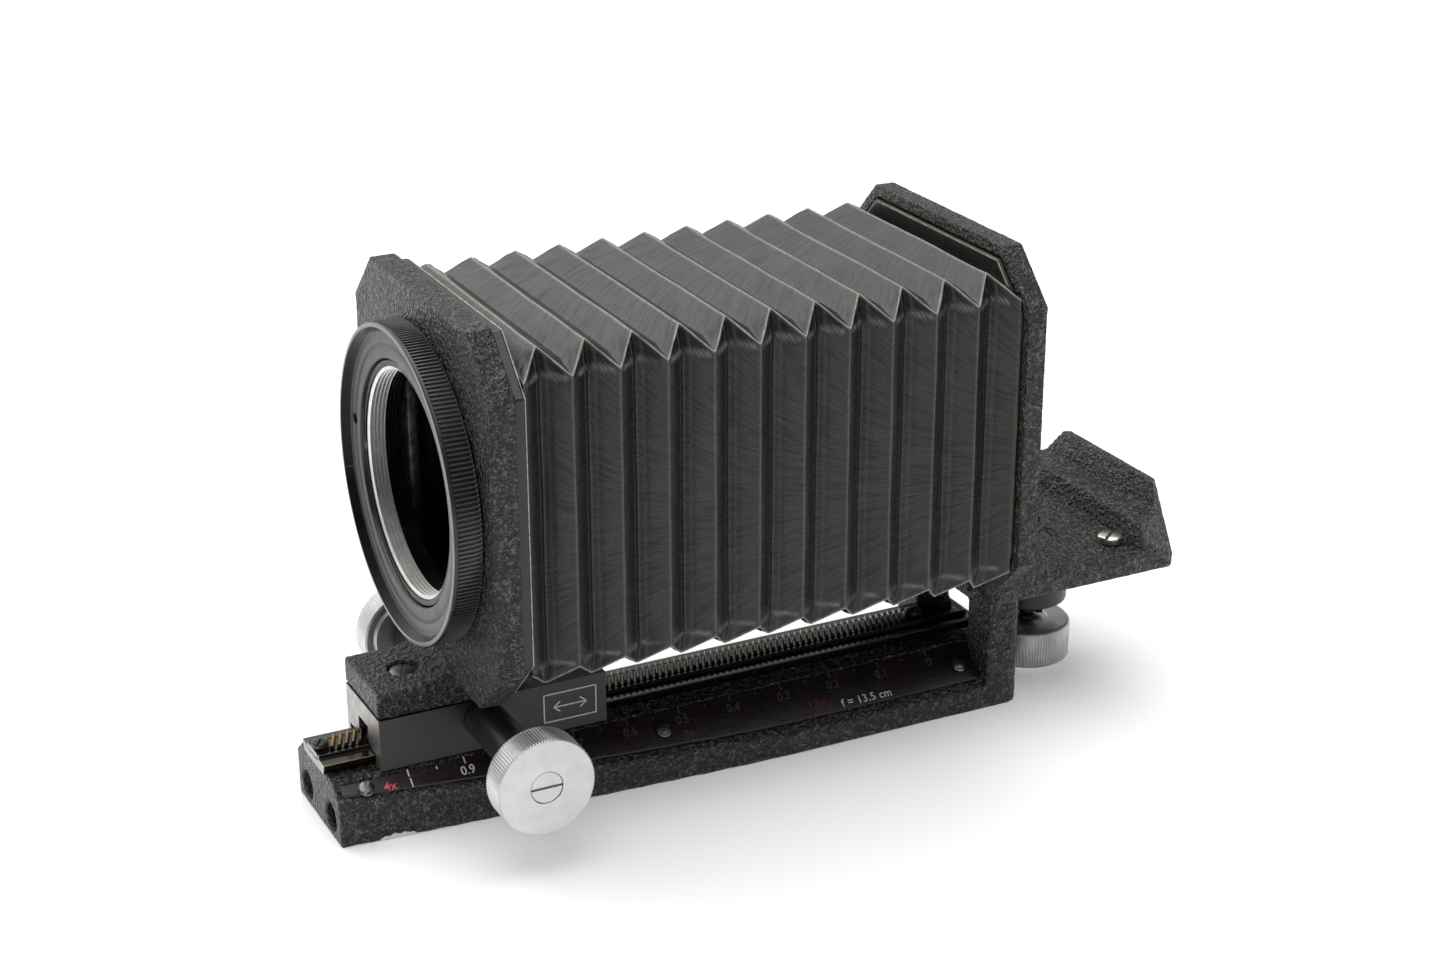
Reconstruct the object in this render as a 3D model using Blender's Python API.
"""Focusing bellows with a rack-driven lens carriage, as separate solids.

A flared cast rail carries a dovetail guide and a toothed rack. The lens carriage slides on the guide, driven
by a pinion between two knobs. A pleated bellows joins the front lens standard to the fixed rear standard,
whose platform carries the camera body and is clamped from below by a knob.

Axes: +X runs along the rail from the lens to the camera, +Y is across it, +Z is up. The origin is on the
rail's flat underside, half way along the rail. The constants and the helpers work in millimetres, and
finish() turns them into metres.
"""
import math

import bmesh
import bpy
from mathutils import Matrix, Vector

MM = 0.001
GAP = 0.3

# Rail casting: a flared block with a flat bed and sloping shoulders, and a two-legged arch at the rear.
RAIL_FRONT = -87.3
RAIL_REAR = 87.0
RAIL_HALF_FRONT = 14.7
RAIL_HALF_REAR = 21.7
RAIL_FLARE_LENGTH = 112.3
RAIL_FLARE_POWER = 1.3
BED_Z = 14.6
BED_HALF = 11.0
SHOULDER_SLOPE = 0.82
ARCH_FRONT = 77.2
ARCH_TOP = 31.7
ARCH_CORNER = 3.0
ARCH_OPENING_HALF = 12.0
ARCH_OPENING_TOP = 26.0
SOCKET_R = 3.4
SOCKET_Y = 8.3
SOCKET_Z = 5.0
SOCKET_DEPTH = 13.0
BUSH_X = 25.0
BUSH_R = 7.9
BUSH_DEPTH = 6.0
BUSH_BORE_R = 4.7

# Scale plate on the near shoulder.
PLATE_TOP_Y = 11.5
PLATE_RECESS = 0.8
PLATE_THICK = 0.6
PLATE_FRONT = -86.0
PLATE_REAR = 76.6
RIM_FRONT = 0.8
RIM_REAR = 2.0
SCALE_SCREWS = ((-80.4, 13.4), (-8.0, 15.4), (72.4, 16.2))

# Guide and rack.
GUIDE_FRONT = -88.0
GUIDE_REAR = 82.0
GUIDE_FOOT_HALF = 6.6
GUIDE_TIER_HALF = 7.6
GUIDE_TIER_Z = 17.5
GUIDE_BAR_HALF = 4.0
GUIDE_BAR_Z = 18.45
RACK_HALF = 2.7
RACK_BED_Z = 16.8
RACK_REAR = 70.5
MODULE = 0.525
PINION_TEETH = 14
HELIX_SHEAR = 0.42
FLANK_PLAY = 0.1
TOOTH_FRONT = -83.9
TOOTH_REAR = 66.3
GUIDE_SCREWS = (-86.2, 68.6)
GUIDE_SCREW_BORE_R = 1.3

# Carriage.
CARRIAGE_FRONT = -75.85
CARRIAGE_REAR = -20.45
CARRIAGE_HALF = 11.06
CARRIAGE_TOP = 27.45
RACK_GROOVE_HALF = 3.05
RACK_GROOVE_TOP = 22.6
PINION_WINDOW_HALF_X = 4.8
PINION_WINDOW_HALF_Y = 3.4
PINION_WINDOW_BOTTOM = 20.0
GIB_SIDE_PLAY = 0.4
GIB_ROOM = 1.9
GIB_SCREW_X = (-66.0, -34.0)
GIB_SCREW_Z = 16.6
GIB_SCREW_R = 0.6
GIB_SCREW_TIP_Y = 9.6
PINION_X = -51.0
PINION_Z = 22.8
SHAFT_R = 2.0
BARREL_R = 4.7
KNOB_R = 11.4
KNOB_THICK = 7.5
NEAR_KNOB_Y = -47.8
FAR_KNOB_Y = 43.8
KNOB_HUB_R = 8.6
KNOB_CHAMFER = 0.6
KNOB_BORE_R = 4.0
KNOB_BORE_DEPTH = 2.0

# Front standard and lens ring.
AXIS_Z = 78.3
STANDARD_FRONT = -58.6
STANDARD_BACK = -52.5
STANDARD_HALF = 41.0
STANDARD_HALF_Z = 43.5
STANDARD_CHAMFER = 12.0
STANDARD_BORE_R = 30.3
FOOT_TOP = 33.85
FOOT_REAR = -40.0
FOOT_HALF = 11.3
FOOT_SCREWS = (("foot_screw_front", -65.8), ("foot_screw_rear", -45.5))
FOOT_BORE_DEPTH = 1.9
RING_R = 36.3
RING_FRONT = -65.5
RING_FACE = -63.4
RING_RIM_R = 34.8
RING_HUB_R = 27.9
RING_HUB_OUTER_R = 30.0
RING_REAR = -54.0
RING_CHAMFER = 0.6
LOCK_SCREW_Y = 30.7
LOCK_SCREW_Z = AXIS_Z + 4.9
THREAD_FRONT = -62.7
THREAD_OUTER_R = 27.6
THREAD_R = 25.3
THREAD_CHAMFER = 0.7

# Bellows: side folds stand out half a pleat away from the top and bottom folds.
PLEATS = 11
PLEAT = 11.0
BELLOWS_FRONT = -49.57
SIDE_FOLD_HALF = 38.2
SIDE_FOLD_HALF_Z = 33.65
TOP_FOLD_HALF = 32.0
TOP_FOLD_HALF_Z = 39.0
LEATHER = 1.1
WINDOW_HALF = 26.5
WINDOW_HALF_Z = 31.5
FRAME_THICK = 1.7

# Rear standard and camera platform.
REAR_FRONT = 72.1
REAR_BACK = 77.2
REAR_BORE_R = 26.0
PLATFORM_REAR = 126.8
PLATFORM_HALF = 30.0
PLATFORM_BOTTOM = 32.0
PLATFORM_TOP = 38.0
LIP_LEDGE_Z = 44.6
LIP_TOP_Z = 51.2
LIP_CORNER_Y = 22.1
LIP_CORNER_NORMAL = (0.556, 1.0, 0.56)
TONGUE_HALF = 24.5
STANDARD_SCREW_Y = 21.7
STANDARD_SCREW_Z = 35.1
STOP_SCREW = (112.0, -21.6)
COLLAR_SCREW = (101.7, -9.6)
COLLAR_SCREW_SEAT = 36.7
MOUNT_RING_R = 31.0
MOUNT_RING_BORE_R = 24.5
CLAMP_X = 102.7
CLAMP_STEM_R = 2.2
COLLAR_R = 9.9
COLLAR_BOTTOM = 16.4
CLAMP_KNOB_R = 11.2
CLAMP_KNOB_BOTTOM = 0.8
CLAMP_KNOB_TOP = 10.9
CLAMP_STEM_BOTTOM = 3.1
CLAMP_STEM_TOP = 37.0
CLIP_R = 4.3
CLIP_BOTTOM = 11.3
CLIP_TOP = 12.3

MATERIALS = {
    "crackle_paint": ((0.020, 0.020, 0.021), 0.55, 0.0),
    "leather": ((0.012, 0.012, 0.013), 0.35, 0.0),
    "black_anodised": ((0.030, 0.031, 0.034), 0.40, 0.3),
    "brass": ((0.42, 0.29, 0.11), 0.35, 1.0),
    "aluminium": ((0.72, 0.73, 0.74), 0.35, 1.0),
    "steel": ((0.50, 0.50, 0.50), 0.30, 1.0),
    "black_steel": ((0.05, 0.05, 0.05), 0.35, 0.8),
    "scale_paint": ((0.045, 0.025, 0.025), 0.40, 0.0),
}

AXES = {
    "x": Matrix(((0, 0, 1), (1, 0, 0), (0, 1, 0))),
    "y": Matrix(((1, 0, 0), (0, 0, 1), (0, 1, 0))),
    "z": Matrix.Identity(3),
}


def clear_scene():
    for obj in list(bpy.data.objects):
        bpy.data.objects.remove(obj, do_unlink=True)


def make_material(name):
    colour, roughness, metallic = MATERIALS[name]
    material = bpy.data.materials.new(name)
    material.use_nodes = True
    shader = material.node_tree.nodes["Principled BSDF"]
    shader.inputs["Base Color"].default_value = (*colour, 1.0)
    shader.inputs["Roughness"].default_value = roughness
    shader.inputs["Metallic"].default_value = metallic
    return material


def pivot(name, x, y, z):
    """An empty on a joint's axis, given in millimetres."""
    empty = bpy.data.objects.new(name, None)
    empty.location = Vector((x, y, z)) * MM
    bpy.context.collection.objects.link(empty)
    return empty


def finish(name, bm, material, parent=None, sharp=35.0):
    """Makes the object of a mesh drawn in millimetres, with its origin on its parent empty."""
    home = parent.location if parent else Vector()
    bmesh.ops.recalc_face_normals(bm, faces=bm.faces)
    bmesh.ops.scale(bm, verts=bm.verts, vec=(MM, MM, MM))
    bmesh.ops.translate(bm, verts=bm.verts, vec=-home)
    mesh = bpy.data.meshes.new(name)
    bm.to_mesh(mesh)
    bm.free()
    mesh.shade_smooth()
    mesh.set_sharp_from_angle(angle=math.radians(sharp))
    obj = bpy.data.objects.new(name, mesh)
    bpy.context.collection.objects.link(obj)
    obj.data.materials.append(bpy.data.materials[material])
    obj.parent = parent
    return obj


def reshape(obj, tools, operation="DIFFERENCE"):
    """Cuts the meshes in tools, drawn in millimetres, from the object, or joins them to it."""
    for bm in tools:
        tool = finish(obj.name + "_tool", bm, obj.data.materials[0].name)
        modifier = obj.modifiers.new("reshape", "BOOLEAN")
        modifier.operation = operation
        modifier.solver = "EXACT"
        modifier.object = tool
        bpy.context.view_layer.update()
        result = bpy.data.meshes.new_from_object(obj.evaluated_get(bpy.context.evaluated_depsgraph_get()))
        obj.modifiers.clear()
        obj.data = result
        bpy.data.objects.remove(tool, do_unlink=True)
    return obj


def prism(outline, axis, low, high, bm=None):
    """A flat outline pushed along an axis. Its points are (Y, Z), (X, Z) or (X, Y)."""
    bm = bm or bmesh.new()
    turn = AXES[axis]
    ends = [[bm.verts.new(turn @ Vector((a, b, at))) for a, b in outline] for at in (low, high)]
    for end in ends:
        bm.faces.new(end)
    for i in range(len(outline)):
        j = (i + 1) % len(outline)
        bm.faces.new((ends[0][i], ends[0][j], ends[1][j], ends[1][i]))
    return bm


def block(x0, x1, y0, y1, z0, z1):
    return prism(((x0, y0), (x1, y0), (x1, y1), (x0, y1)), "z", z0, z1)


def turned(profile, axis, centre, steps=32, sweep=360.0, start=0.0):
    """A closed profile of (distance along the axis, radius) points turned about the axis."""
    bm = bmesh.new()
    turn = AXES[axis]
    full = sweep >= 360.0
    count = steps if full else steps + 1
    rings = []
    for along, radius in profile:
        if radius == 0:
            rings.append([bm.verts.new(turn @ Vector((centre[0], centre[1], along)))] * count)
            continue
        ring = []
        for i in range(count):
            angle = math.radians(start + sweep * i / steps)
            a = centre[0] + radius * math.cos(angle)
            b = centre[1] + radius * math.sin(angle)
            ring.append(bm.verts.new(turn @ Vector((a, b, along))))
        rings.append(ring)
    for k in range(len(rings)):
        first, second = rings[k], rings[(k + 1) % len(rings)]
        if profile[k][1] == 0 and profile[(k + 1) % len(rings)][1] == 0:
            continue
        for i in range(steps):
            j = (i + 1) % count
            corners = []
            for vert in (first[i], first[j], second[j], second[i]):
                if vert not in corners:
                    corners.append(vert)
            bm.faces.new(corners)
    if not full:
        bm.faces.new([ring[0] for ring in rings])
        bm.faces.new([ring[-1] for ring in rings])
    return bm


def rod(axis, centre, radius, low, high, steps=24):
    return turned(((low, 0), (low, radius), (high, radius), (high, 0)), axis, centre, steps)


def tube(axis, centre, outer, inner, low, high, steps=32):
    return turned(((low, outer), (high, outer), (high, inner), (low, inner)), axis, centre, steps)


def octagon(half, half_z, chamfer, centre_z=AXIS_Z):
    y, z = half, half_z
    corners = ((-y, z - chamfer), (-y + chamfer, z), (y - chamfer, z), (y, z - chamfer),
               (y, -z + chamfer), (y - chamfer, -z), (-y + chamfer, -z), (-y, -z + chamfer))
    return [(a, b + centre_z) for a, b in corners]


def rectangle(half, half_z, centre_z=AXIS_Z):
    return [(-half, centre_z - half_z), (half, centre_z - half_z), (half, centre_z + half_z),
            (-half, centre_z + half_z)]


def screw(name, axis, centre, seat, outward, head_r, head_h, shank_r, shank, material, parent=None, slot=0.7):
    """A slotted screw whose head stands on seat and points along +1 or -1 of the axis."""
    top = seat + outward * head_h
    edge = top - outward * 0.25
    profile = ((seat - outward * shank, 0), (seat - outward * shank, shank_r), (seat, shank_r),
               (seat, head_r), (edge, head_r), (top, head_r - 0.3), (top, 0))
    obj = finish(name, turned(profile, axis, centre, 20), material, parent)
    floor = top - outward * head_h * 0.45
    along = sorted((floor, top + outward))
    reach = head_r + 1
    across = slot / 2
    outline = [(centre[0] - across, centre[1] - reach), (centre[0] + across, centre[1] - reach),
               (centre[0] + across, centre[1] + reach), (centre[0] - across, centre[1] + reach)]
    return reshape(obj, [prism(outline, axis, *along)])


def rail_half(x):
    """The rail's half-width, which flares towards the rear."""
    t = min(1.0, (x - RAIL_FRONT) / RAIL_FLARE_LENGTH)
    return RAIL_HALF_REAR - (RAIL_HALF_REAR - RAIL_HALF_FRONT) * (1 - t) ** RAIL_FLARE_POWER


def shoulder_z(y):
    return BED_Z - SHOULDER_SLOPE * (y - BED_HALF)


def rim_width(x):
    t = min(1.0, (x - RAIL_FRONT) / RAIL_FLARE_LENGTH)
    return RIM_FRONT + (RIM_REAR - RIM_FRONT) * t


def stations(start, end, count):
    return [start + (end - start) * i / (count - 1) for i in range(count)]


def loft(sections):
    """Skins rings of the same number of points, and caps the first and the last."""
    bm = bmesh.new()
    rings = [[bm.verts.new(point) for point in section] for section in sections]
    for first, second in zip(rings, rings[1:]):
        for i in range(len(first)):
            j = (i + 1) % len(first)
            bm.faces.new((first[i], first[j], second[j], second[i]))
    bm.faces.new(rings[0])
    bm.faces.new(rings[-1])
    return bm


def rail_section(x):
    w = rail_half(x)
    land = w - rim_width(x)
    step = PLATE_RECESS
    near = [(-w, 0), (-w, shoulder_z(w)), (-land, shoulder_z(land)), (-land, shoulder_z(land) - step),
            (-PLATE_TOP_Y, shoulder_z(PLATE_TOP_Y) - step), (-PLATE_TOP_Y, shoulder_z(PLATE_TOP_Y))]
    far = [(-BED_HALF, BED_Z), (BED_HALF, BED_Z), (w, shoulder_z(w)), (w, 0)]
    return [(x, y, z) for y, z in near + far]


def arch_plan():
    """The arch's outline from above, with its two rear corners rounded."""
    points = [(ARCH_FRONT, RAIL_HALF_REAR), (ARCH_FRONT, -RAIL_HALF_REAR)]
    for side, first in ((-1, -90), (1, 0)):
        for i in range(4):
            angle = math.radians(first + 30 * i)
            points.append((RAIL_REAR - ARCH_CORNER + ARCH_CORNER * math.cos(angle),
                           side * (RAIL_HALF_REAR - ARCH_CORNER) + ARCH_CORNER * math.sin(angle)))
    return points


def make_base():
    sections = [rail_section(x) for x in stations(RAIL_FRONT, ARCH_FRONT + 0.6, 16)]
    base = finish("base_casting", loft(sections), "crackle_paint", sharp=20)
    reshape(base, [prism(arch_plan(), "z", 0, ARCH_TOP)], "UNION")
    opening = block(ARCH_FRONT - 1, RAIL_REAR + 1, -ARCH_OPENING_HALF, ARCH_OPENING_HALF, BED_Z,
                    ARCH_OPENING_TOP)
    sockets = [rod("x", (y, SOCKET_Z), SOCKET_R, RAIL_FRONT - 1, RAIL_FRONT + SOCKET_DEPTH)
               for y in (-SOCKET_Y, SOCKET_Y)]
    pocket = rod("z", (BUSH_X, 0), BUSH_R + GAP, -1, BUSH_DEPTH)
    reshape(base, [opening, *sockets, pocket])
    bush = ((0, BUSH_R), (BUSH_DEPTH - GAP, BUSH_R), (BUSH_DEPTH - GAP, BUSH_BORE_R), (0, BUSH_BORE_R))
    finish("tripod_bush", turned(bush, "z", (BUSH_X, 0), 32), "steel")


def make_scale_plate():
    sections = []
    for x in stations(PLATE_FRONT, PLATE_REAR, 14):
        top = PLATE_TOP_Y + GAP
        low = rail_half(x) - rim_width(x) - GAP
        lift = GAP - PLATE_RECESS
        edge = [(-low, shoulder_z(low) + lift), (-low, shoulder_z(low) + lift + PLATE_THICK),
                (-top, shoulder_z(top) + lift + PLATE_THICK), (-top, shoulder_z(top) + lift)]
        sections.append([(x, y, z) for y, z in edge])
    finish("scale_plate", loft(sections), "scale_paint")
    tilt = Matrix.Rotation(math.atan(SHOULDER_SLOPE), 3, "X")
    for number, (x, y) in enumerate(SCALE_SCREWS, 1):
        bm = turned(((0, 0), (0, 1.85), (0.6, 1.85), (0.85, 1.4), (0.85, 0)), "z", (0, 0), 20)
        seat = Vector((x, -y, shoulder_z(y) + GAP + 0.15))
        bmesh.ops.rotate(bm, verts=bm.verts, matrix=tilt)
        bmesh.ops.translate(bm, verts=bm.verts, vec=seat)
        slot = block(-0.3, 0.3, -3, 3, 0.45, 2)
        bmesh.ops.rotate(slot, verts=slot.verts, matrix=tilt)
        bmesh.ops.translate(slot, verts=slot.verts, vec=seat)
        reshape(finish(f"scale_screw_{number}", bm, "black_steel"), [slot])


def make_guide():
    side = [(GUIDE_FOOT_HALF, BED_Z + GAP), (GUIDE_TIER_HALF, GUIDE_TIER_Z), (GUIDE_BAR_HALF, GUIDE_TIER_Z),
            (GUIDE_BAR_HALF, GUIDE_BAR_Z), (RACK_HALF + GAP, GUIDE_BAR_Z), (RACK_HALF + GAP, RACK_BED_Z)]
    outline = side + [(-y, z) for y, z in reversed(side)]
    guide = finish("guide_bar", prism(outline, "x", GUIDE_FRONT, GUIDE_REAR), "brass")
    holes = [rod("z", (x, 0), GUIDE_SCREW_BORE_R, BED_Z, RACK_BED_Z + 1, 16) for x in GUIDE_SCREWS]
    reshape(guide, holes)
    make_rack()
    for name, x in zip(("rack_screw_front", "rack_screw_rear"), GUIDE_SCREWS):
        screw(name, "z", (x, 0), GUIDE_BAR_Z + GAP, 1, 1.95, 1.3, 1.0, 3.2, "black_steel")


def make_rack():
    """A strip with slanting teeth. A tooth's thickness at the pitch line is half the pitch less the play."""
    pitch = math.pi * MODULE
    pitch_z = PINION_Z - MODULE * PINION_TEETH / 2
    top = pitch_z + 0.85 * MODULE
    root = GUIDE_BAR_Z
    slope = math.tan(math.radians(20))
    half_top = pitch / 4 - FLANK_PLAY / 2 - slope * (top - pitch_z)
    half_root = pitch / 4 - FLANK_PLAY / 2 + slope * (pitch_z - root)
    first = math.ceil((TOOTH_FRONT - PINION_X) / pitch - 0.5)
    last = math.floor((TOOTH_REAR - PINION_X) / pitch - 0.5)
    outline = [(RACK_REAR, RACK_BED_Z + GAP, 0), (GUIDE_FRONT, RACK_BED_Z + GAP, 0), (GUIDE_FRONT, root, 0)]
    for tooth in range(first, last + 1):
        x = PINION_X + (tooth + 0.5) * pitch
        outline += [(x - half_root, root, 1), (x - half_top, top, 1), (x + half_top, top, 1),
                    (x + half_root, root, 1)]
    outline.append((RACK_REAR, root, 0))
    bm = bmesh.new()
    ends = [[bm.verts.new((x + slant * HELIX_SHEAR * y, y, z)) for x, z, slant in outline]
            for y in (-RACK_HALF, RACK_HALF)]
    for end in ends:
        bm.faces.new(end)
    for i in range(len(outline)):
        j = (i + 1) % len(outline)
        bm.faces.new((ends[0][i], ends[0][j], ends[1][j], ends[1][i]))
    rack = finish("rack", bm, "brass")
    reshape(rack, [rod("z", (x, 0), GUIDE_SCREW_BORE_R, RACK_BED_Z, root + 1, 16) for x in GUIDE_SCREWS])


def pinion_outline(turn):
    """Involute teeth. turn is the angle of the tooth space that points straight down."""
    pitch_r = MODULE * PINION_TEETH / 2
    base_r = pitch_r * math.cos(math.radians(20))
    radii = [pitch_r - 1.15 * MODULE, base_r + 0.05, pitch_r, pitch_r + 0.75 * MODULE]
    involute = math.tan(math.radians(20)) - math.radians(20)
    half_pitch = math.pi / 2 / PINION_TEETH - FLANK_PLAY / 2 / pitch_r
    points = []
    for tooth in range(PINION_TEETH):
        centre = turn + 2 * math.pi * tooth / PINION_TEETH
        flank = []
        for radius in radii:
            slope = math.acos(min(1.0, base_r / radius))
            flank.append((radius, half_pitch + involute - (math.tan(slope) - slope)))
        for radius, angle in flank:
            points.append((radius * math.cos(centre - angle), radius * math.sin(centre - angle)))
        for radius, angle in reversed(flank):
            points.append((radius * math.cos(centre + angle), radius * math.sin(centre + angle)))
    return points


def make_pinion(parent):
    pitch_r = MODULE * PINION_TEETH / 2
    bm = bmesh.new()
    rings = []
    for y in stations(-RACK_HALF, RACK_HALF, 5):
        # The angle is measured from +X towards +Z, so a tooth straight down stands at -90 degrees.
        turn = -math.pi / 2 + HELIX_SHEAR * y / pitch_r
        rings.append([bm.verts.new((PINION_X + a, y, PINION_Z + b)) for a, b in pinion_outline(turn)])
    for first, second in zip(rings, rings[1:]):
        for i in range(len(first)):
            j = (i + 1) % len(first)
            bm.faces.new((first[i], first[j], second[j], second[i]))
    bm.faces.new(rings[0])
    bm.faces.new(rings[-1])
    pinion = finish("pinion", bm, "brass", parent)
    reshape(pinion, [rod("y", (PINION_X, PINION_Z), SHAFT_R + GAP, -RACK_HALF - 1, RACK_HALF + 1, 20)])


def make_carriage():
    """The block that slides on the guide, its brass gib strip and the barrels round the pinion's shaft."""
    outside = block(CARRIAGE_FRONT, CARRIAGE_REAR, -CARRIAGE_HALF, CARRIAGE_HALF, BED_Z + GAP, CARRIAGE_TOP)
    carriage = finish("carriage_block", outside, "black_anodised")
    near = [(-GUIDE_FOOT_HALF - GIB_SIDE_PLAY, BED_Z - 1), (-GUIDE_FOOT_HALF - GIB_SIDE_PLAY, BED_Z + 0.2),
            (-GUIDE_TIER_HALF - GIB_SIDE_PLAY, GUIDE_TIER_Z + GAP),
            (-GUIDE_BAR_HALF - GAP, GUIDE_TIER_Z + GAP),
            (-GUIDE_BAR_HALF - GAP, GUIDE_BAR_Z + GAP), (-RACK_GROOVE_HALF, GUIDE_BAR_Z + GAP),
            (-RACK_GROOVE_HALF, RACK_GROOVE_TOP)]
    far = [(RACK_GROOVE_HALF, RACK_GROOVE_TOP), (RACK_GROOVE_HALF, GUIDE_BAR_Z + GAP),
           (GUIDE_BAR_HALF + GAP, GUIDE_BAR_Z + GAP), (GUIDE_BAR_HALF + GAP, GUIDE_TIER_Z + GAP),
           (GUIDE_TIER_HALF + GIB_ROOM, GUIDE_TIER_Z + GAP), (GUIDE_FOOT_HALF + GIB_ROOM, BED_Z - 1)]
    channel = prism(near + far, "x", CARRIAGE_FRONT - 1, CARRIAGE_REAR + 1)
    window = block(PINION_X - PINION_WINDOW_HALF_X, PINION_X + PINION_WINDOW_HALF_X, -PINION_WINDOW_HALF_Y,
                   PINION_WINDOW_HALF_Y, PINION_WINDOW_BOTTOM, CARRIAGE_TOP + 1)
    bore = rod("y", (PINION_X, PINION_Z), SHAFT_R + GAP, -20, 20, 20)
    reshape(carriage, [channel, window, bore])
    hole_r = GIB_SCREW_R + GAP
    reshape(carriage, [rod("y", (x, GIB_SCREW_Z), hole_r, CARRIAGE_HALF - 3, 20, 12) for x in GIB_SCREW_X])
    gib = [(GUIDE_FOOT_HALF + 0.5, BED_Z + 0.7), (GUIDE_TIER_HALF + 0.35, GUIDE_TIER_Z - 0.05),
           (GUIDE_TIER_HALF + 1.45, GUIDE_TIER_Z - 0.05), (GUIDE_FOOT_HALF + 1.6, BED_Z + 0.7)]
    finish("gib_strip", prism(gib, "x", CARRIAGE_FRONT + 0.6, CARRIAGE_REAR - 0.6), "brass")
    for number, x in enumerate(GIB_SCREW_X, 1):
        pin = rod("y", (x, GIB_SCREW_Z), GIB_SCREW_R, GIB_SCREW_TIP_Y, CARRIAGE_HALF - 0.2, 12)
        finish(f"gib_screw_{number}", pin, "black_steel")
    for name, near_y, far_y in (("near_barrel", NEAR_KNOB_Y + KNOB_THICK + GAP, -CARRIAGE_HALF - GAP),
                                ("far_barrel", CARRIAGE_HALF + GAP, FAR_KNOB_Y - KNOB_THICK - GAP)):
        barrel = tube("y", (PINION_X, PINION_Z), BARREL_R, SHAFT_R + GAP, near_y, far_y)
        finish(name, barrel, "black_anodised")


def make_knob(name, outer, outward, parent):
    """A focusing knob: a rim, a shallow face and a counterbore for its screw."""
    inner = outer - outward * KNOB_THICK
    bore = outer - outward * KNOB_BORE_DEPTH
    profile = ((inner, SHAFT_R + GAP), (inner, KNOB_HUB_R), (inner + outward * 0.8, KNOB_HUB_R + 0.6),
               (inner + outward * 0.3, KNOB_R - 0.4), (inner + outward * KNOB_CHAMFER, KNOB_R),
               (outer - outward * KNOB_CHAMFER, KNOB_R), (outer, KNOB_R - KNOB_CHAMFER), (outer, KNOB_BORE_R),
               (bore, KNOB_BORE_R), (bore, SHAFT_R + GAP))
    finish(name, turned(profile, "y", (PINION_X, PINION_Z), 36), "aluminium", parent)


def make_drive():
    axle = pivot("pinion_axis", PINION_X, 0, PINION_Z)
    seat = KNOB_BORE_DEPTH + GAP
    shaft = rod("y", (PINION_X, PINION_Z), SHAFT_R, NEAR_KNOB_Y + seat, FAR_KNOB_Y - seat, 20)
    finish("pinion_shaft", shaft, "steel", axle)
    make_pinion(axle)
    make_knob("near_knob", NEAR_KNOB_Y, -1, axle)
    make_knob("far_knob", FAR_KNOB_Y, 1, axle)
    for name, outer, outward in (("near_knob_screw", NEAR_KNOB_Y, -1), ("far_knob_screw", FAR_KNOB_Y, 1)):
        screw(name, "y", (PINION_X, PINION_Z), outer - outward * (KNOB_BORE_DEPTH - GAP), outward,
              KNOB_BORE_R - GAP, 1.6, 0.6, 0.1, "aluminium", axle, slot=0.6)


def make_front_standard():
    outline = octagon(STANDARD_HALF, STANDARD_HALF_Z, STANDARD_CHAMFER)
    standard = finish("front_standard", prism(outline, "x", STANDARD_FRONT, STANDARD_BACK), "crackle_paint")
    foot = block(CARRIAGE_FRONT, FOOT_REAR, -FOOT_HALF, FOOT_HALF, CARRIAGE_TOP + GAP, FOOT_TOP)
    fillet = ((STANDARD_FRONT - 5, FOOT_TOP - 1), (STANDARD_FRONT - 5, FOOT_TOP),
              (STANDARD_FRONT - 1.6, FOOT_TOP + 1.2), (STANDARD_FRONT, FOOT_TOP + 4.4),
              (STANDARD_FRONT + 1, FOOT_TOP + 4.4), (STANDARD_FRONT + 1, FOOT_TOP - 1))
    reshape(standard, [foot, prism(fillet, "y", -FOOT_HALF, FOOT_HALF)], "UNION")
    cuts = [rod("x", (0, AXIS_Z), STANDARD_BORE_R, STANDARD_FRONT - 1, STANDARD_BACK + 1, 48)]
    for _, x in FOOT_SCREWS:
        cuts.append(rod("z", (x, 0), 3.5, FOOT_TOP - FOOT_BORE_DEPTH, FOOT_TOP + 1))
        cuts.append(rod("z", (x, 0), 1.6, CARRIAGE_TOP - 1, FOOT_TOP, 16))
    reshape(standard, cuts)
    for name, x in FOOT_SCREWS:
        screw(name, "z", (x, 0), FOOT_TOP - FOOT_BORE_DEPTH + GAP, 1, 3.2, 1.3, 1.3, 4.2, "black_steel")


def make_lens_ring():
    axis = pivot("lens_ring_axis", STANDARD_FRONT, 0, AXIS_Z)
    back = STANDARD_FRONT - GAP
    centre = (0, AXIS_Z)
    profile = ((back, RING_R), (RING_FRONT + RING_CHAMFER, RING_R), (RING_FRONT, RING_R - RING_CHAMFER),
               (RING_FRONT, RING_RIM_R), (RING_FACE, RING_RIM_R - 1.0), (RING_FACE, RING_HUB_R + 0.5),
               (RING_FACE + 0.5, RING_HUB_R), (RING_REAR, RING_HUB_R), (RING_REAR, RING_HUB_OUTER_R),
               (back, RING_HUB_OUTER_R))
    ring = finish("lens_ring", turned(profile, "x", centre, 64), "black_anodised", axis)
    hole = (LOCK_SCREW_Y, LOCK_SCREW_Z)
    reshape(ring, [rod("x", hole, 1.3, RING_FRONT, RING_FRONT + 4.0, 16)])
    lock_screw = rod("x", hole, 1.0, RING_FRONT + 2.9, RING_FRONT + 3.7, 16)
    finish("ring_lock_screw", lock_screw, "black_steel", axis)
    chamfered_r = THREAD_R + THREAD_CHAMFER
    thread = ((THREAD_FRONT, THREAD_OUTER_R), (THREAD_FRONT, chamfered_r),
              (THREAD_FRONT + THREAD_CHAMFER, THREAD_R), (RING_REAR - 0.6, THREAD_R), (RING_REAR, chamfered_r),
              (RING_REAR, THREAD_OUTER_R))
    finish("lens_thread_insert", turned(thread, "x", centre, 48), "steel", axis)


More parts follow.
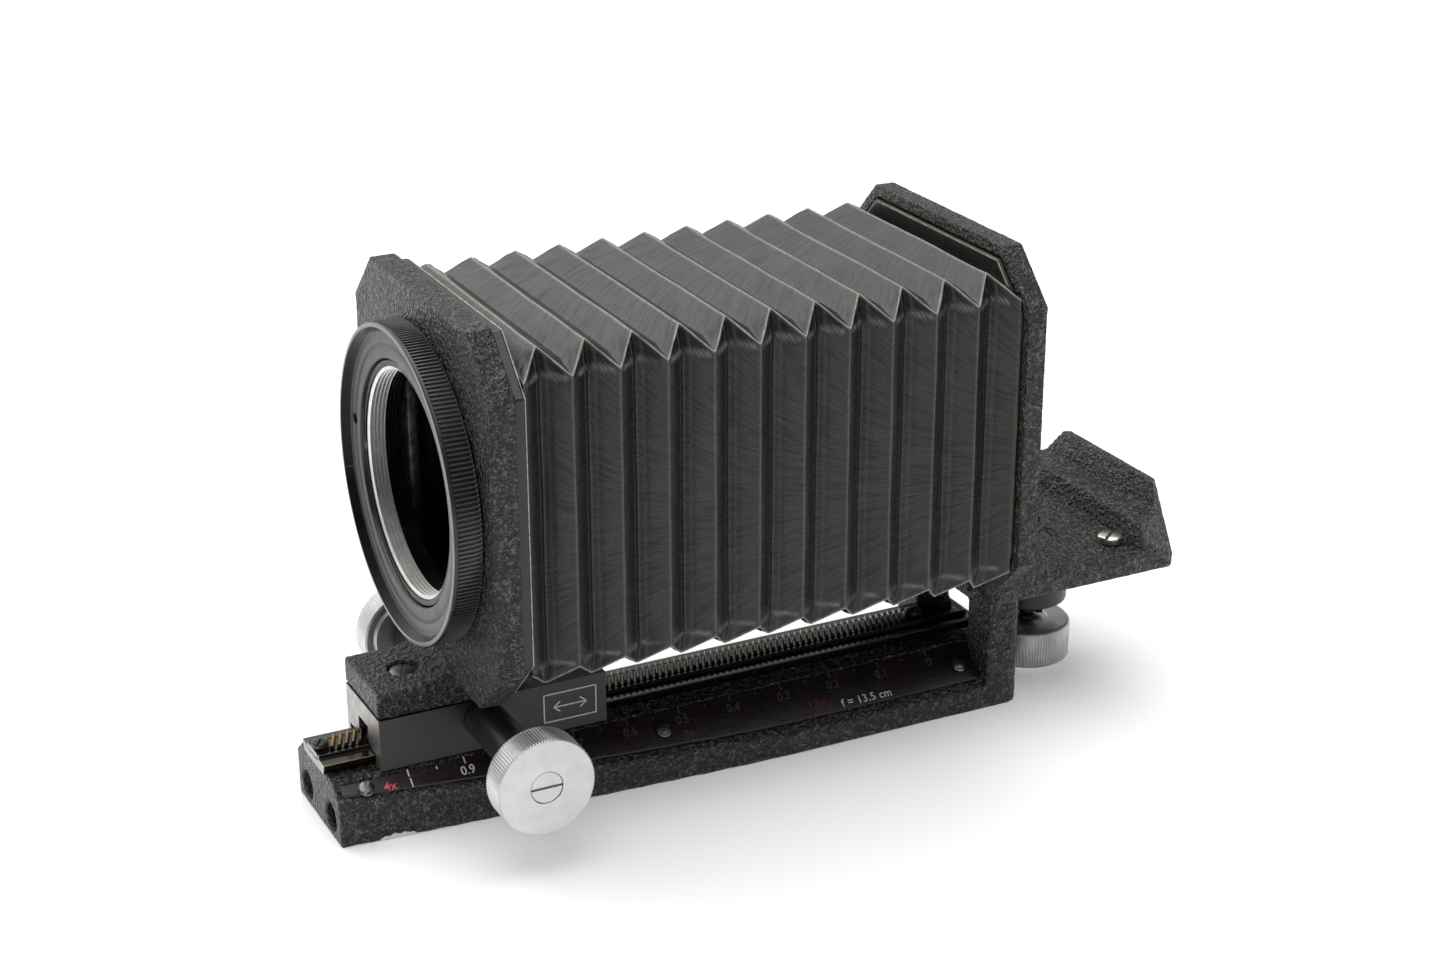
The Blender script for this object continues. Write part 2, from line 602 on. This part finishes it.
def make_bellows():
    """Rings at each fold, skinned outside and inside. The folds of the sides and the top alternate."""
    outer, inner = [], []
    for fold in range(2 * PLEATS + 1):
        x = BELLOWS_FRONT + fold * PLEAT / 2
        half, half_z = (TOP_FOLD_HALF, TOP_FOLD_HALF_Z) if fold % 2 else (SIDE_FOLD_HALF, SIDE_FOLD_HALF_Z)
        outer.append([(x, y, z) for y, z in rectangle(half, half_z)])
        inner.append([(x, y, z) for y, z in rectangle(half - LEATHER, half_z - LEATHER)])
    bm = bmesh.new()
    skins = [[[bm.verts.new(point) for point in ring] for ring in skin] for skin in (outer, inner)]
    for skin in skins:
        for first, second in zip(skin, skin[1:]):
            for i in range(4):
                j = (i + 1) % 4
                bm.faces.new((first[i], first[j], second[j], second[i]))
    for end in (0, -1):
        for i in range(4):
            j = (i + 1) % 4
            bm.faces.new((skins[0][end][i], skins[0][end][j], skins[1][end][j], skins[1][end][i]))
    finish("bellows", bm, "leather", sharp=10)


def make_bellows_frames():
    window = rectangle(WINDOW_HALF, WINDOW_HALF_Z)
    front = prism(octagon(39.4, 42.3, 11.6), "x", STANDARD_BACK + GAP, BELLOWS_FRONT - GAP)
    reshape(finish("front_bellows_frame", front, "black_anodised"), [prism(window, "x", -60, -40)])
    rear_face = BELLOWS_FRONT + PLEATS * PLEAT + GAP
    rear = prism(octagon(37.9, 40.2, 10.0), "x", rear_face, rear_face + FRAME_THICK)
    reshape(finish("rear_bellows_frame", rear, "black_anodised"), [prism(window, "x", 60, 90)])


def cut_corner(bm, side):
    """Slants one end of the platform's lip: the end wall leans inwards as it goes up and back."""
    point = Vector((PLATFORM_REAR, side * LIP_CORNER_Y, LIP_LEDGE_Z))
    lean, across, rise = LIP_CORNER_NORMAL
    normal = Vector((lean, side * across, rise)).normalized()
    everything = bm.verts[:] + bm.edges[:] + bm.faces[:]
    cut = bmesh.ops.bisect_plane(bm, geom=everything, plane_co=point, plane_no=normal, clear_outer=True)
    edges = [item for item in cut["geom_cut"] if isinstance(item, bmesh.types.BMEdge)]
    bmesh.ops.contextual_create(bm, geom=edges)


def make_rear_standard():
    outline = octagon(STANDARD_HALF, STANDARD_HALF_Z, STANDARD_CHAMFER)
    standard = finish("rear_standard", prism(outline, "x", REAR_FRONT, REAR_BACK), "crackle_paint")
    profile = ((REAR_FRONT + 1.0, PLATFORM_BOTTOM), (PLATFORM_REAR - 2.3, PLATFORM_BOTTOM),
               (PLATFORM_REAR, PLATFORM_BOTTOM + 2.3), (PLATFORM_REAR, LIP_TOP_Z),
               (PLATFORM_REAR - 2.0, LIP_TOP_Z),
               (PLATFORM_REAR - 4.2, LIP_LEDGE_Z), (PLATFORM_REAR - 10.6, LIP_LEDGE_Z),
               (PLATFORM_REAR - 11.6, PLATFORM_TOP), (REAR_FRONT + 1.0, PLATFORM_TOP))
    platform = prism(profile, "y", -PLATFORM_HALF, PLATFORM_HALF)
    for side in (-1, 1):
        cut_corner(platform, side)
    tongue = block(REAR_FRONT, REAR_FRONT + 3, -TONGUE_HALF, TONGUE_HALF, PLATFORM_BOTTOM, PLATFORM_TOP)
    reshape(standard, [platform, tongue], "UNION")
    rebate = prism(octagon(38.2, 40.5, 10.1), "x", REAR_FRONT - 1, REAR_FRONT + FRAME_THICK)
    cuts = [rebate, rod("x", (0, AXIS_Z), REAR_BORE_R, REAR_FRONT, REAR_BACK + 1, 48),
            rod("z", (CLAMP_X, 0), CLAMP_STEM_R + GAP, 30, 40, 20),
            rod("z", STOP_SCREW, 1.8, 34, 40, 16),
            rod("z", COLLAR_SCREW, 2.5, COLLAR_SCREW_SEAT - GAP, 40, 20)]
    sides = (-STANDARD_SCREW_Y, STANDARD_SCREW_Y)
    cuts += [rod("x", (y, STANDARD_SCREW_Z), 1.2, REAR_FRONT - 1, REAR_FRONT + 4, 16) for y in sides]
    reshape(standard, cuts)
    for name, y in zip(("standard_screw_near", "standard_screw_far"), sides):
        screw(name, "x", (y, STANDARD_SCREW_Z), REAR_FRONT - GAP, -1, 1.9, 1.2, 0.9, 3.6, "black_steel")
    screw("camera_stop_screw", "z", STOP_SCREW, PLATFORM_TOP + GAP, 1, 3.15, 2.0, 1.5, 3.6, "steel", slot=1.0)
    screw("collar_screw", "z", COLLAR_SCREW, COLLAR_SCREW_SEAT, 1, 2.2, 1.2, 1.0, 0.1, "black_steel")
    ring = tube("x", (0, AXIS_Z), MOUNT_RING_R, MOUNT_RING_BORE_R, REAR_BACK + GAP, REAR_BACK + 2.3, 48)
    finish("camera_mount_ring", ring, "steel")


def make_clamp():
    axis = pivot("clamp_axis", CLAMP_X, 0, 0)
    centre = (CLAMP_X, 0)
    bore = CLAMP_STEM_R + GAP
    collar_top = PLATFORM_BOTTOM - GAP
    collar = ((COLLAR_BOTTOM, bore), (COLLAR_BOTTOM, COLLAR_R - 0.8), (COLLAR_BOTTOM + 0.8, COLLAR_R),
              (collar_top, COLLAR_R), (collar_top, bore))
    finish("clamp_collar", turned(collar, "z", centre, 32), "black_anodised")
    stem = rod("z", centre, CLAMP_STEM_R, CLAMP_STEM_BOTTOM, CLAMP_STEM_TOP, 20)
    finish("clamp_stem", stem, "black_steel", axis)
    clip = ((CLIP_BOTTOM, CLIP_R), (CLIP_TOP, CLIP_R), (CLIP_TOP, bore), (CLIP_BOTTOM, bore))
    finish("clamp_clip", turned(clip, "z", centre, 20, sweep=300, start=-20), "black_steel", axis)
    bottom, top, radius = CLAMP_KNOB_BOTTOM, CLAMP_KNOB_TOP, CLAMP_KNOB_R
    floor = CLAMP_STEM_BOTTOM - GAP
    knob = ((bottom, 0), (bottom, radius - KNOB_CHAMFER), (bottom + KNOB_CHAMFER, radius),
            (top - KNOB_CHAMFER, radius), (top, radius - KNOB_CHAMFER), (top, bore), (floor, bore),
            (floor, 0))
    finish("clamp_knob", turned(knob, "z", centre, 36), "aluminium", axis)


def main():
    clear_scene()
    for name in MATERIALS:
        make_material(name)
    make_base()
    make_scale_plate()
    make_guide()
    make_carriage()
    make_drive()
    make_front_standard()
    make_lens_ring()
    make_bellows_frames()
    make_bellows()
    make_rear_standard()
    make_clamp()


main()
